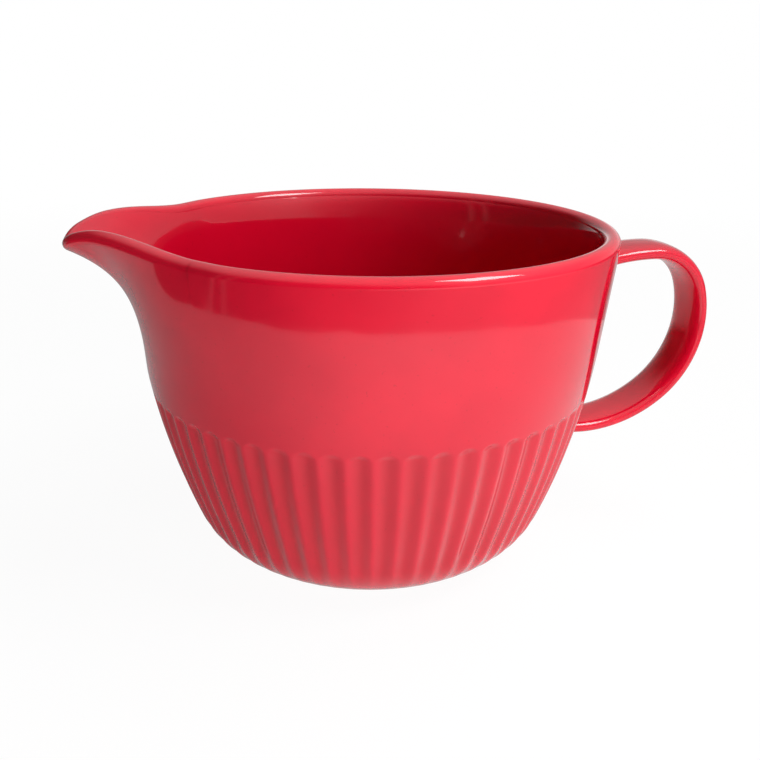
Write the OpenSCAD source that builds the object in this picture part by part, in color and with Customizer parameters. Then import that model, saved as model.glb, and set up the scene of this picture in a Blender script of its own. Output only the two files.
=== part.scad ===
// Ceramic batter bowl: a round fluted bowl with a pouring spout and a strap handle.
// The origin is on the bowl's axis at the surface it stands on, with Z up,
// the handle towards +X and the spout towards -X.

/* [Bowl] */
// Outer radius of the round rim
rim_r = 91.3; // [80:0.1:110]
// Height of the rim above the standing surface
bowl_h = 129.3; // [120:0.1:145]
// Thickness of the wall, the floor and the rim
wall = 6.3; // [5:0.1:7.5]
// Lean of the straight wall under the rim, in degrees from upright
rim_lean = 6.4; // [5:0.1:8]
// Length of the straight wall under the rim
straight_h = 37.5; // [30:0.5:42]
// Radius of the long curve of the side, seen from outside
side_r = 262; // [230:1:300]
// Radius of the tight curve that turns under to the base
belly_r = 28.6; // [24:0.1:36]

/* [Foot] */
// Height of the foot ring
foot_h = 2.5; // [2:0.1:4]
// Width of the foot ring
foot_w = 6; // [4:0.5:9]
// Step from the edge of the flat base in to the foot ring
foot_step = 0.5; // [0.2:0.1:2]
// Radius of the foot ring's two lower edges
foot_round = 0.8; // [0.4:0.1:1.2]

/* [Flutes] */
// Number of flutes round the bowl
flute_count = 60; // [48:1:66]
// Radius of each flute's hollow section
flute_r = 8.5; // [7.5:0.1:10]
// Depth of each flute in the side
flute_deep = 1.4; // [1:0.1:1.8]
// Height of the tops of the flutes
flute_top = 71.5; // [60:0.5:74]

/* [Spout] */
// How far the lip's centre line reaches out past the rim's at the tip
spout_reach = 20.3; // [16:0.1:25]
// Radius of the lip's centre line round the tip, from above
spout_tip_r = 18; // [12:0.5:24]
// How far the lip is drawn in where each flank leaves the rim
spout_pinch = 1.3; // [0.5:0.1:2]
// Rise of the lip on each flank above the rim
spout_lift = 4; // [2:0.1:6]
// Drop of the lip at the tip below the rim
spout_drop = 1.1; // [0:0.1:3]
// Distance of the lip's highest places from the spout's middle
spout_crest = 22; // [18:0.5:26]
// Distance of the ends of the rise from the spout's middle
spout_rise_end = 57; // [50:1:62]
// Softness of the dip in the lip at the tip
spout_dip = 4; // [1:0.1:5]
// Thickness of the lip at the tip
spout_lip = 5; // [4:0.1:6]
// Height at which the spout starts to leave the side
spout_root = 75.5; // [74.5:0.5:80]
// Depth of the hollow below the spout
spout_hollow = 0.9; // [0:0.1:1.5]
// Half the angle of rim that the spout takes, in degrees
spout_half = 50; // [48:0.5:56]
// Angle over which the lip blends into the rim, in degrees
spout_blend = 10; // [8:0.5:14]

/* [Handle] */
// Distance from the bowl's axis to the strap's centre line, at its farthest
handle_reach = 138.8; // [134:0.2:146]
// Drop from the rim to the strap's centre line at its top
handle_drop = 14.5; // [12:0.1:17]
// Height from the strap's lowest centre line to its top one
handle_h = 73; // [71:0.2:75]
// Radius of the long bend over the fingers
strap_top_r = 90; // [70:1:120]
// Radius of the tight bend at the upper back
strap_turn_r = 22.7; // [20:0.1:26]
// Radius of the bend down the back
strap_back_r = 41.7; // [38:0.1:44]
// Radius of the long bend that returns to the side
strap_low_r = 54; // [50:1:58]
// Angle below level where the back passes into the lower bend
strap_back_turn = 52; // [46:1:58]
// Width of the strap
strap_w = 21.3; // [16:0.1:26]
// Thickness of the strap
strap_t = 6.8; // [5:0.1:8]
// Length of each worked joint between strap and side
joint_l = 4; // [3.5:0.1:5]
// Flare of each joint where it meets the side
joint_flare = 1.5; // [1:0.1:2.5]

/* [Hidden] */
glaze_red = [0.80, 0.10, 0.17];
bare_clay = [0.85, 0.80, 0.71];
$fn = 180;

// Overrun of every cut past the surface that it opens
over = 4;
// Angle that each flute's cutter runs on along the long curve, past the tight one
flute_runout = 3;

// Smooth step from 0 to 1, a straight mix of two values, and a unit vector
function ease(t) = t <= 0 ? 0 : t >= 1 ? 1 : t * t * (3 - 2 * t);
function mix(a, b, t) = a + (b - a) * t;
function unit(v) = v / norm(v);
function share(t) = max(0, min(1, t));

// The side is a straight wall, a long curve and a tight curve, each tangent to
// the next. Its angles are from level, and side_dir is its outward normal.
function side_dir(angle) = [sin(angle), -cos(angle)];
top_angle = 90 - rim_lean;
rim_line = [rim_r - wall / 2, bowl_h - wall / 2];
wall_top = rim_line + wall / 2 * side_dir(top_angle);
wall_low = wall_top - straight_h * [cos(top_angle), sin(top_angle)];
side_centre = wall_low - side_r * side_dir(top_angle);
belly_angle = acos((side_centre[1] - belly_r - foot_h) / (side_r - belly_r));
belly_top = side_centre + side_r * side_dir(belly_angle);
belly_centre = belly_top - belly_r * side_dir(belly_angle);
base_r = belly_centre[0];

// Outer radius of the side at a height
function side_radius(z) =
    z > wall_low[1] ? wall_low[0] + (z - wall_low[1]) * tan(rim_lean)
    : z > belly_top[1] ? side_centre[0] + sqrt(pow(side_r, 2) - pow(side_centre[1] - z, 2))
    : belly_centre[0] + sqrt(pow(belly_r, 2) - pow(belly_centre[1] - z, 2));

// Angle of the long curve at a height
function side_angle(z) = acos((side_centre[1] - z) / side_r);

// Points of one curve of the side, with its radius changed by a depth
function side_curve(centre, radius, from, to, steps) =
    [for (i = [0 : steps]) centre + radius * side_dir(mix(from, to, i / steps))];

// Sections of the wall, in one half, split level with the tops of the flutes.
// The lower one runs from the base's middle up the outside and back down the inside.
split_out = side_angle(flute_top);
split_in = acos((side_centre[1] - flute_top) / (side_r - wall));
module lower_section() {
    polygon([
        [0, foot_h],
        each side_curve(belly_centre, belly_r, 0, belly_angle, 8),
        each side_curve(side_centre, side_r, belly_angle, split_out, 8),
        each side_curve(side_centre, side_r - wall, split_in, belly_angle, 8),
        each side_curve(belly_centre, belly_r - wall, belly_angle, 0, 8),
        [0, foot_h + wall]
    ]);
}

// The upper one runs up the outside, round the rim and down the inside
module upper_section() {
    rim_up = top_angle + 180;
    polygon([
        each side_curve(side_centre, side_r, split_out, top_angle, 8),
        each side_curve(rim_line, wall / 2, top_angle, rim_up, 12),
        each side_curve(side_centre, side_r - wall, top_angle, split_in, 8)
    ]);
}

// One flute: a hollow that follows the long curve past the top of the lower section.
// Below, the tight curve turns away from the flute, so that it fades out there.
module flute() {
    low = belly_angle - 90 - flute_runout;
    high = side_angle(flute_top + over) - 90;
    translate([side_centre[0], 0, side_centre[1]])
        rotate([90, 0, 0])
            rotate([0, 0, low])
                rotate_extrude(angle = high - low, $fn = 720)
                    translate([side_r - flute_deep + flute_r, 0]) circle(flute_r, $fn = 60);
}

// Flutes from one number to another, where number 0 lies half a pitch from +X
module flutes(first, last) {
    for (i = [first : last])
        rotate([0, 0, (i + 0.5) * 360 / flute_count]) flute();
}

// Gap that the spout fills: square to the side below, and upright at its ends
module spout_gap() {
    normal = side_dir(side_angle(spout_root));
    root = [side_radius(spout_root), spout_root];
    outside = root + over * normal;
    inside = root - (wall + over) * normal;
    side = rim_r + over;
    top = bowl_h + over;
    rotate([0, 0, 180 - spout_half])
        rotate_extrude(angle = 2 * spout_half)
            polygon([outside, [side, outside[1]], [side, top], [inside[0], top], inside]);
}

// Wall below the tops of the flutes, round an angle from a start, less some flutes
module lower_wall(start, angle, first, last) {
    difference() {
        rotate([0, 0, start]) rotate_extrude(angle = angle) lower_section();
        flutes(first, last);
    }
}

module bowl_body() {
    color(glaze_red)
        union() {
            lower_wall(0, 360, 0, flute_count - 1);
            difference() {
                rotate_extrude() upper_section();
                spout_gap();
            }
        }
}

// The lip's centre line, from above, is an arc round the tip and two straight
// flanks that blend into the rim's circle. Angles are from the spout's middle.
tip_centre = rim_line[0] + spout_reach - spout_tip_r;
flank_line = rim_line[0] - spout_pinch;
flank_angle = acos((flank_line - spout_tip_r) / tip_centre);
tip_angle = atan2(spout_tip_r * sin(flank_angle), tip_centre + spout_tip_r * cos(flank_angle));

function beak_radius(a) =
    a < tip_angle
        ? tip_centre * cos(a) + sqrt(pow(spout_tip_r, 2) - pow(tip_centre * sin(a), 2))
        : flank_line / cos(a - flank_angle);

function lip_radius(a) =
    mix(beak_radius(abs(a)), rim_line[0], ease((abs(a) - spout_half + spout_blend) / spout_blend));

// How much of the spout there is at an angle: 0 at the rim and 1 at the tip
function spout_share(a) = share((lip_radius(a) - rim_line[0]) / spout_reach);

// Height of the lip's centre line: level at the rim, high on the flanks, low at the tip
function dip(t) = sqrt(t * t + spout_dip * spout_dip) - spout_dip;
function lip_height(a) =
    let (t = abs(lip_radius(a) * sin(a)))
    rim_line[1] + (
        t < spout_crest
            ? mix(-spout_drop, spout_lift, sin(90 * dip(t) / dip(spout_crest)))
            : spout_lift * pow(cos(90 * share((t - spout_crest) / (spout_rise_end - spout_crest))), 2));

function lip_half(a) = mix(wall, spout_lip, spout_share(a)) / 2;

// The flare grows with a power of the height, which sets how far the lip tips out
flare_power = 5;
function lip_tilt(a) =
    atan(tan(rim_lean) + flare_power * (lip_radius(a) - rim_line[0]) / (lip_height(a) - spout_root));

// Outer edge of the lip, as radius and height
angle_step = 0.1;
function plan_turn(a) =
    atan((lip_radius(a - angle_step) - lip_radius(a + angle_step))
         / (2 * lip_radius(a) * sin(angle_step)));
function lip_edge(a) = [
    lip_radius(a) + lip_half(a) * cos(lip_tilt(a)) / cos(plan_turn(a)),
    lip_height(a) - lip_half(a) * sin(lip_tilt(a))
];

// Point of the spout's outer face at an angle and a share of the way up to the lip
hollow_peak = pow(1 / 3, 2) * pow(2 / 3, 4);
function spout_outside(a, up) =
    let (
        edge = lip_edge(a),
        z = mix(spout_root, edge[1], up),
        flare = (edge[0] - side_radius(edge[1])) * pow(max(up, 0), flare_power),
        hollow = spout_hollow * spout_share(a) * pow(up, 2) * pow(1 - up, 4) / hollow_peak,
        r = side_radius(z) + flare - hollow
    )
    [-r * cos(a), -r * sin(a), z];

up_step = 0.002;
function spout_along(a, up) = spout_outside(a + angle_step, up) - spout_outside(a - angle_step, up);
function spout_upward(a, up) = spout_outside(a, up + up_step) - spout_outside(a, up - up_step);
function spout_normal(a, up) = unit(cross(spout_along(a, up), spout_upward(a, up)));

// Rows up the wall are closer together near the lip, and columns near the tip
spout_rows = 14;
bead_steps = 8;
spout_columns = 48;
row_shares = [for (i = [0 : spout_rows]) 1 - pow(1 - i / spout_rows, 1.7)];
function column_angle(i) =
    let (q = 2 * i / spout_columns - 1)
    spout_half * sign(q) * pow(abs(q), 1.35);

// One upright section of the spout: up the outside, round the lip, down the inside
function spout_loop(a) =
    let (
        normal = spout_normal(a, 1),
        upward = unit(cross(normal, spout_along(a, 1))),
        centre = spout_outside(a, 1) - lip_half(a) * normal
    )
    [
        for (up = row_shares)
            spout_outside(a, up),
        for (i = [1 : bead_steps - 1])
            centre + lip_half(a) * (cos(180 * i / bead_steps) * normal
                                    + sin(180 * i / bead_steps) * upward),
        for (i = [spout_rows : -1 : 0])
            let (up = row_shares[i])
            spout_outside(a, up) - mix(wall, 2 * lip_half(a), ease(up)) * spout_normal(a, up)
    ];

// Closed skin over a row of loops that all have the same number of points
module skin(loops) {
    n = len(loops[0]);
    last = len(loops) - 1;
    points = [for (loop = loops) each loop];
    sides = [
        for (j = [0 : last - 1], i = [0 : n - 1])
            let (a = j * n + i, b = j * n + (i + 1) % n)
            each [[a, b, b + n], [a, b + n, a + n]]
    ];
    start = [for (i = [n - 1 : -1 : 0]) i];
    end = [for (i = [0 : n - 1]) last * n + i];
    polyhedron(points, concat(sides, [start, end]), convexity = 6);
}

module pour_spout() {
    color(glaze_red)
        skin([for (i = [0 : spout_columns]) spout_loop(column_angle(i))]);
}

module foot_ring() {
    outer = base_r - foot_step;
    inner = outer - foot_w;
    color(bare_clay)
        rotate_extrude() {
            translate([inner, foot_round]) square([foot_w, foot_h - foot_round]);
            translate([inner + foot_round, 0]) square([foot_w - 2 * foot_round, foot_round]);
            for (x = [inner + foot_round, outer - foot_round])
                intersection() {
                    translate([x, foot_round]) circle(foot_round);
                    translate([inner, 0]) square([foot_w, foot_round]);
                }
        }
}

// The strap's centre line is four arcs, each tangent to the next. Angles are of
// each arc's outward normal, from level, and run down from the upper end.
back_drop = strap_back_r * sin(strap_back_turn) + strap_low_r * (1 - sin(strap_back_turn));
back_rise = asin((handle_h - back_drop - strap_turn_r) / (strap_back_r - strap_turn_r));
function around(a) = [cos(a), sin(a)];
back_centre = [handle_reach - strap_back_r, bowl_h - handle_drop - handle_h + back_drop];
turn_centre = back_centre + (strap_back_r - strap_turn_r) * around(back_rise);
low_centre = back_centre + (strap_back_r - strap_low_r) * around(-strap_back_turn);
top_centre = turn_centre + (strap_turn_r - strap_top_r) * around(90);

// Angle on an arc at which the strap ends, one joint's length from the side
function seat_angle(centre, r, way, a, tries = 6) =
    tries == 0
        ? a
        : seat_angle(centre, r, way,
                     way * acos((side_radius(centre[1] + r * sin(a)) + joint_l - centre[0]) / r),
                     tries - 1);
top_seat = seat_angle(top_centre, strap_top_r, 1, 90);
low_seat = seat_angle(low_centre, strap_low_r, -1, -90);

// Section of the strap, a flat oval, grown by a margin
oval_steps = 24;
oval_power = 0.8;
function oval(grow) = [
    for (i = [0 : oval_steps - 1])
        let (c = cos(360 * i / oval_steps), s = sin(360 * i / oval_steps))
        [
            (strap_w / 2 + grow) * sign(c) * pow(abs(c), oval_power),
            (strap_t / 2 + grow) * sign(s) * pow(abs(s), oval_power)
        ]
];

// The strap's section at a place in the plane of the handle, facing an outward angle
function strap_loop(place, a, grow = 0) = [
    for (p = oval(grow))
        [place[0] + p[1] * cos(a), p[0], place[1] + p[1] * sin(a)]
];

function strap_arc(centre, r, from, to, steps) = [
    for (i = [0 : steps - 1])
        let (a = mix(from, to, i / steps))
        strap_loop(centre + r * around(a), a)
];

module handle() {
    color(glaze_red)
        skin([
            each strap_arc(top_centre, strap_top_r, top_seat, 90, 4),
            each strap_arc(turn_centre, strap_turn_r, 90, back_rise, 12),
            each strap_arc(back_centre, strap_back_r, back_rise, -strap_back_turn, 12),
            each strap_arc(low_centre, strap_low_r, -strap_back_turn, low_seat, 9),
            strap_loop(low_centre + strap_low_r * around(low_seat), low_seat)
        ]);
}

// Part of the bowl's wall round the handle, with the flutes that cross it
module wall_at_handle() {
    near = 2;
    reach = (near + 1) * 360 / flute_count;
    lower_wall(-reach, 2 * reach, -near - 1, near);
    rotate([0, 0, -reach]) rotate_extrude(angle = 2 * reach) upper_section();
}

// Worked clay from the end of the strap to the side, which it widens towards.
// Its form runs on into the wall and is then cut back to the wall's surface.
flare_steps = 5;
module joint(centre, r, seat, way) {
    place = centre + r * around(seat);
    inward = way * [-sin(seat), cos(seat)];
    flared = [
        for (i = [0 : flare_steps])
            let (s = i / flare_steps)
            strap_loop(place + joint_l * s * inward, seat, joint_flare * (1 - sqrt(1 - s * s)))
    ];
    sunk = strap_loop(place + (joint_l + wall / 2) * inward, seat, joint_flare);
    color(glaze_red)
        difference() {
            skin(way > 0 ? [each reverse(flared, sunk)] : [each flared, sunk]);
            wall_at_handle();
        }
}

function reverse(loops, last) = [last, for (i = [len(loops) - 1 : -1 : 0]) loops[i]];

module upper_handle_joint() {
    joint(top_centre, strap_top_r, top_seat, 1);
}

module lower_handle_joint() {
    joint(low_centre, strap_low_r, low_seat, -1);
}

bowl_body();
pour_spout();
foot_ring();
handle();
upper_handle_joint();
lower_handle_joint();
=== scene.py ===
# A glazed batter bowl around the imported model: fine meshes of its clay pieces, their glaze and
# bare clay, a pale floor, soft studio light and a camera at the photograph's viewing angle.
# Lengths are in metres and angles in degrees. Azimuths are from +X, towards +Y.

import math

import bmesh
import bpy
import numpy as np
from mathutils import Matrix, Vector


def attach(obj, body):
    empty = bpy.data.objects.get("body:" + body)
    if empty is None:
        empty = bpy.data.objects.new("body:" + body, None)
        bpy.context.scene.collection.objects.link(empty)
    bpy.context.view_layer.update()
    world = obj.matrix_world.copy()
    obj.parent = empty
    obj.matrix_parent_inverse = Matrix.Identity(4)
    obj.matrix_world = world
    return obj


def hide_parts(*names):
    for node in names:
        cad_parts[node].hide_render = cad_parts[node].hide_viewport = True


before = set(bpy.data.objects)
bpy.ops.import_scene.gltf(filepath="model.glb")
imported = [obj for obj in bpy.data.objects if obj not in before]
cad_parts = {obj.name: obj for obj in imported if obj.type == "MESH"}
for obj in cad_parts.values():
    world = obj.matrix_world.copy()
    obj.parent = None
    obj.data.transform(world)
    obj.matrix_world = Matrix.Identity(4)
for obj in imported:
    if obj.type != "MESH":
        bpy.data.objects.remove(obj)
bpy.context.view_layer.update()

# Section of the bowl
RIM_R = 0.0913
BOWL_H = 0.1293
WALL = 0.0063
RIM_LEAN = 6.4
STRAIGHT_H = 0.0375
SIDE_R = 0.262
BELLY_R = 0.0286

# Extra thickness inside the rim: a round edge, then a slight lean that ends in a soft crease. It
# fades out down the wall and where the spout starts.
SHOULDER_ROUND = 0.0026
SHOULDER_DEEP = 0.0008
SHOULDER_END = 0.049
SHOULDER_SPOUT = 0.5
CREASE_DROP = 0.0085
CREASE_DEEP = 0.0004
CREASE_SOFT = 0.16

# Foot ring, which is set in a little from the edge of the base
FOOT_H = 0.0025
FOOT_W = 0.006
FOOT_STEP = 0.0005
FOOT_ROUND = 0.0008

# Flutes, which end in arches and fade out towards the foot between two heights
FLUTE_COUNT = 60
FLUTE_TOP = 0.0722
FLUTE_DEEP = 0.00115
FLUTE_ARCH = 0.0034
FLUTE_FADE_TOP = 0.0270
FLUTE_FADE_LOW = 0.0050
RIDGE_POWER = 0.9

# How much darker the glaze is made inside than on the plain wall, as pooled glaze and as painted
# shade in the bowl's hollow, and how fast that thins from the spout's root up
INNER_POOL_AND_SHADE = 0.4
ROOT_THINNING = 3

# Spout: its lip from above, then its heights and where along it they lie, then its wall
SPOUT_REACH = 0.0203
SPOUT_TIP_R = 0.018
SPOUT_PINCH = 0.0005
SPOUT_HALF = 50
SPOUT_BLEND = 4
SPOUT_ROUND = 0.0003
SPOUT_LIFT = 0.004
SPOUT_DROP = 0.0011
SPOUT_CREST = 0.022
SPOUT_RISE_END = 0.057
SPOUT_DIP = 0.004
SPOUT_ROOT = 0.0755
SPOUT_LIP = 0.005
SPOUT_HOLLOW = 0.0009
FLARE_POWER = 5

# Handle: its outer reach and its centre line's heights, the radii of its four arcs from the top
# down, the angle where the back one ends, and its section
HANDLE_REACH = 0.1388
HANDLE_TOP = 0.1148
HANDLE_LOW = 0.0418
STRAP_TOP_R = 0.09
STRAP_TURN_R = 0.0227
STRAP_BACK_R = 0.0417
STRAP_LOW_R = 0.054
STRAP_BACK_TURN = 52
STRAP_W = 0.0213
STRAP_T = 0.0068
STRAP_POWER = 0.8

# Handle's joints: their length and flare, how much further they reach onto the side, how far their
# curve's handles go as shares of its reach and of the flare, and how far they lap and sink into it
JOINT_L = 0.004
JOINT_FLARE = 0.0018
JOINT_EXTRA = 0.001
JOINT_START_SHARE = 0.62
JOINT_END_SHARE = 0.8
JOINT_LAP = 0.0004
JOINT_SINK = 0.001

# Fineness of the meshes, in numbers of steps
COLUMNS = 720
UP_STEPS = 30
UP_CROWDING = 1.6
BEAD_STEPS = 16
FOOT_STEPS = 6
STRAP_SIDES = 72
JOINT_STEPS = 14

# Fineness in degrees round the spout and in lengths along the section and the strap
SPOUT_STEP = 0.5
BELLY_STEP = 0.0014
SIDE_STEP = 0.0028
ARCH_STEP = 0.0003
PLAIN_STEP = 0.0015
INNER_SIDE_STEP = 0.004
INNER_BELLY_STEP = 0.0018
STRAP_STEP = 0.0012

# Rings of the base and of the floor inside, as shares of the base's radius
BASE_RINGS = (0.75, 0.5, 0.3, 0.15)
FLOOR_RINGS = (0.75, 0.5, 0.25)

# Small steps for slopes: an angle in degrees, a length, and a share. The last is next to nothing.
TINY_TURN = 0.05
TINY_LENGTH = 0.00002
TINY_SHARE = 0.001
TINIEST = 1e-9


def sine(angle):
    return np.sin(np.radians(angle))


def cosine(angle):
    return np.cos(np.radians(angle))


def mix(a, b, t):
    return a + (b - a) * t


def ease(t):
    t = np.clip(t, 0, 1)
    return t * t * (3 - 2 * t)


def unit(v):
    return v / np.linalg.norm(v, axis=-1, keepdims=True)


# The side, seen in section, is a flat base, a tight curve, a long curve and a straight wall,
# each tangent to the next. Its angles are of the outward normal, from straight down.
def side_dir(angle):
    return np.stack([sine(angle), -cosine(angle)], -1)


TOP_ANGLE = 90 - RIM_LEAN
RIM_LINE = np.array([RIM_R - WALL / 2, BOWL_H - WALL / 2])
WALL_TOP = RIM_LINE + WALL / 2 * side_dir(TOP_ANGLE)
WALL_LOW = WALL_TOP - STRAIGHT_H * np.array([cosine(TOP_ANGLE), sine(TOP_ANGLE)])
SIDE_CENTRE = WALL_LOW - SIDE_R * side_dir(TOP_ANGLE)
BELLY_ANGLE = math.degrees(math.acos((SIDE_CENTRE[1] - BELLY_R - FOOT_H) / (SIDE_R - BELLY_R)))
BELLY_CENTRE = SIDE_CENTRE + (SIDE_R - BELLY_R) * side_dir(BELLY_ANGLE)
BASE_R = BELLY_CENTRE[0]

# Lengths along the section from the middle of the base
BELLY_START = BASE_R
SIDE_START = BELLY_START + BELLY_R * math.radians(BELLY_ANGLE)
WALL_START = SIDE_START + SIDE_R * math.radians(TOP_ANGLE - BELLY_ANGLE)


def section_angle(length):
    """Angle of the section's outward normal at a length along it."""
    belly = np.degrees((length - BELLY_START) / BELLY_R)
    side = BELLY_ANGLE + np.degrees((length - SIDE_START) / SIDE_R)
    angle = np.where(length < SIDE_START, belly, side)
    return np.clip(angle, 0, TOP_ANGLE)


def section_point(length):
    """Radius and height of the smooth outer face at a length along the section."""
    length = np.asarray(length, float)
    angle = section_angle(length)[..., None]
    direction = side_dir(angle[..., 0])
    base = np.stack([length, np.full_like(length, FOOT_H)], -1)
    belly = BELLY_CENTRE + BELLY_R * direction
    side = SIDE_CENTRE + SIDE_R * direction
    run = np.array([cosine(TOP_ANGLE), sine(TOP_ANGLE)])
    wall = WALL_LOW + (length[..., None] - WALL_START) * run
    place = length[..., None]
    return np.where(
        place < BELLY_START,
        base,
        np.where(place < SIDE_START, belly, np.where(place < WALL_START, side, wall)),
    )


def side_radius(z):
    """Outer radius of the smooth side at a height above the tight curve."""
    below = np.minimum(SIDE_CENTRE[1] - z, SIDE_R)
    arc = SIDE_CENTRE[0] + np.sqrt(SIDE_R**2 - below**2)
    straight = WALL_LOW[0] + (z - WALL_LOW[1]) * math.tan(math.radians(RIM_LEAN))
    return np.where(z > WALL_LOW[1], straight, arc)


def length_at(z):
    """Length along the section at a height above the tight curve."""
    turn = np.arccos(np.clip((SIDE_CENTRE[1] - z) / SIDE_R, -1, 1))
    arc = SIDE_START + SIDE_R * (turn - math.radians(BELLY_ANGLE))
    return np.where(z > WALL_LOW[1], WALL_START + (z - WALL_LOW[1]) / sine(TOP_ANGLE), arc)


def shoulder(drop):
    """Extra thickness inside the rim at a height below it."""
    edge = 1 - np.exp(-drop / SHOULDER_ROUND)
    share = drop / CREASE_DROP
    lean = (share + 1 - np.sqrt((share - 1) ** 2 + CREASE_SOFT**2)) / 2
    level = (1 - math.sqrt(1 + CREASE_SOFT**2)) / 2
    fade = ease((SHOULDER_END - drop) / (SHOULDER_END - CREASE_DROP))
    return (SHOULDER_DEEP * edge + CREASE_DEEP * (lean - level)) * fade


def turned(radius, height, azimuth):
    """Points of a radius and height at an azimuth."""
    return np.stack([radius * cosine(azimuth), radius * sine(azimuth), height + 0 * azimuth], -1)


def flute_share(azimuth, z):
    """How deep the flutes are at a place, from 0 on a ridge or past the ends to 1 in a hollow."""
    across = np.abs(2 * np.mod(azimuth * FLUTE_COUNT / 360, 1) - 1)
    past_round = np.maximum(z - FLUTE_TOP + FLUTE_ARCH, 0) / FLUTE_ARCH
    inside = np.clip(1 - np.sqrt(across**2 + past_round**2), 0, 1)
    hollow = (1 - cosine(180 * inside**RIDGE_POWER)) / 2
    fade = ease((z - FLUTE_FADE_LOW) / (FLUTE_FADE_TOP - FLUTE_FADE_LOW))
    return hollow * fade


def outer_point(azimuth, length):
    """Point of the bowl's outer face, with its flutes."""
    place = section_point(length)
    depth = FLUTE_DEEP * flute_share(azimuth, place[..., 1])
    place = place - depth[..., None] * side_dir(section_angle(length))
    return turned(place[..., 0], place[..., 1], azimuth)


def inner_point(azimuth, length):
    """Point of the bowl's inner face, opposite the outer one."""
    place = section_point(length)
    thick = WALL + shoulder(WALL_TOP[1] - place[..., 1])
    place = place - thick[..., None] * side_dir(section_angle(length))
    return turned(place[..., 0], place[..., 1], azimuth)


def slope_normal(point, u, v, du, dv):
    """Unit normal of a surface point(u, v), from its slopes."""
    along = point(u + du, v) - point(u - du, v)
    up = point(u, v + dv) - point(u, v - dv)
    return unit(np.cross(along, up))


# The spout's lip, from above, is an arc round the tip and two straight flanks that blend into
# the rim's circle. Its angles are from the spout's middle, which faces -X.
TIP_CENTRE = RIM_LINE[0] + SPOUT_REACH - SPOUT_TIP_R
FLANK_LINE = RIM_LINE[0] - SPOUT_PINCH
FLANK_ANGLE = math.degrees(math.acos((FLANK_LINE - SPOUT_TIP_R) / TIP_CENTRE))
TIP_ANGLE = math.degrees(
    math.atan2(SPOUT_TIP_R * sine(FLANK_ANGLE), TIP_CENTRE + SPOUT_TIP_R * cosine(FLANK_ANGLE))
)


def lip_radius(a):
    """Radius of the middle of the lip, from the bowl's axis."""
    b = np.abs(a)
    arc = TIP_CENTRE * cosine(b) + np.sqrt(
        np.maximum(SPOUT_TIP_R**2 - (TIP_CENTRE * sine(b)) ** 2, 0)
    )
    flank = FLANK_LINE / cosine(b - FLANK_ANGLE)
    beak = np.where(b < TIP_ANGLE, arc, flank) - RIM_LINE[0]
    past_tip = np.minimum((beak - np.sqrt(beak**2 + SPOUT_ROUND**2)) / 2, 0)
    beak = np.where(b < FLANK_ANGLE, beak, past_tip)
    return RIM_LINE[0] + beak * ease((SPOUT_HALF - b) / SPOUT_BLEND)


def spout_share(a):
    """How much of the spout there is at an angle: 0 at the rim and 1 at the tip."""
    return np.clip((lip_radius(a) - RIM_LINE[0]) / SPOUT_REACH, 0, 1)


def dip(t):
    """A distance to one side of the tip, rounded off near 0."""
    return np.sqrt(t * t + SPOUT_DIP**2) - SPOUT_DIP


def lip_height(a):
    """Height of the middle of the lip: low at the tip, high on the flanks and level at the rim."""
    t = np.abs(lip_radius(a) * sine(a))
    near = mix(-SPOUT_DROP, SPOUT_LIFT, sine(90 * np.minimum(dip(t) / dip(SPOUT_CREST), 1)))
    past = np.clip((t - SPOUT_CREST) / (SPOUT_RISE_END - SPOUT_CREST), 0, 1)
    far = SPOUT_LIFT * cosine(90 * past) ** 2
    return RIM_LINE[1] + np.where(t < SPOUT_CREST, near, far)


def lip_half(a):
    """Half the lip's thickness."""
    return mix(WALL, SPOUT_LIP, spout_share(a)) / 2


def lip_edge(a):
    """Radius and height of the lip's outer edge."""
    radius = lip_radius(a)
    height = lip_height(a)
    flare = FLARE_POWER * (radius - RIM_LINE[0]) / (height - SPOUT_ROOT)
    tilt = np.degrees(np.arctan(math.tan(math.radians(RIM_LEAN)) + flare))
    step = 2 * TINY_TURN
    turn = np.degrees(
        np.arctan((lip_radius(a - step) - lip_radius(a + step)) / (2 * radius * sine(step)))
    )
    half = lip_half(a)
    return radius + half * cosine(tilt) / cosine(turn), height - half * sine(tilt)


# Highest value of the curve by which the spout is hollow under its lip
HOLLOW_PEAK = (1 / 3) ** 2 * (2 / 3) ** 4


def spout_outside(a, up):
    """Point of the spout's outer face, at a share of the way up to the lip."""
    edge_r, edge_z = lip_edge(a)
    z = mix(SPOUT_ROOT, edge_z, up)
    flare = (edge_r - side_radius(edge_z)) * np.maximum(up, 0) ** FLARE_POWER
    hollow = SPOUT_HOLLOW * spout_share(a) * up**2 * (1 - up) ** 4 / HOLLOW_PEAK
    radius = side_radius(z) + flare - hollow
    return np.stack([-radius * cosine(a), -radius * sine(a), z], -1)


def spout_facing(a, up):
    return slope_normal(spout_outside, a, up, TINY_TURN, TINY_SHARE)


def spout_inside(a, up):
    """Point of the spout's inner face, at a share of the way up to the lip."""
    drop = (1 - up) * (lip_edge(a)[1] - SPOUT_ROOT)
    shoulder_share = 1 - ease(spout_share(a) / SHOULDER_SPOUT)
    thick = mix(WALL, 2 * lip_half(a), ease(up)) + shoulder_share * shoulder(drop)
    return spout_outside(a, up) - thick[..., None] * spout_facing(a, up)


def spout_bead(a, round_share):
    """Point of the lip's round edge, from its outer end at 0 to its inner end at 1."""
    top = np.ones_like(a)
    normal = spout_facing(a, top)
    along = spout_outside(a + TINY_TURN, top) - spout_outside(a - TINY_TURN, top)
    upward = unit(np.cross(normal, along))
    half = lip_half(a)[..., None]
    centre = spout_outside(a, top) - half * normal
    turn = 180 * round_share[..., None]
    return centre + half * (cosine(turn) * normal + sine(turn) * upward)


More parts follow.
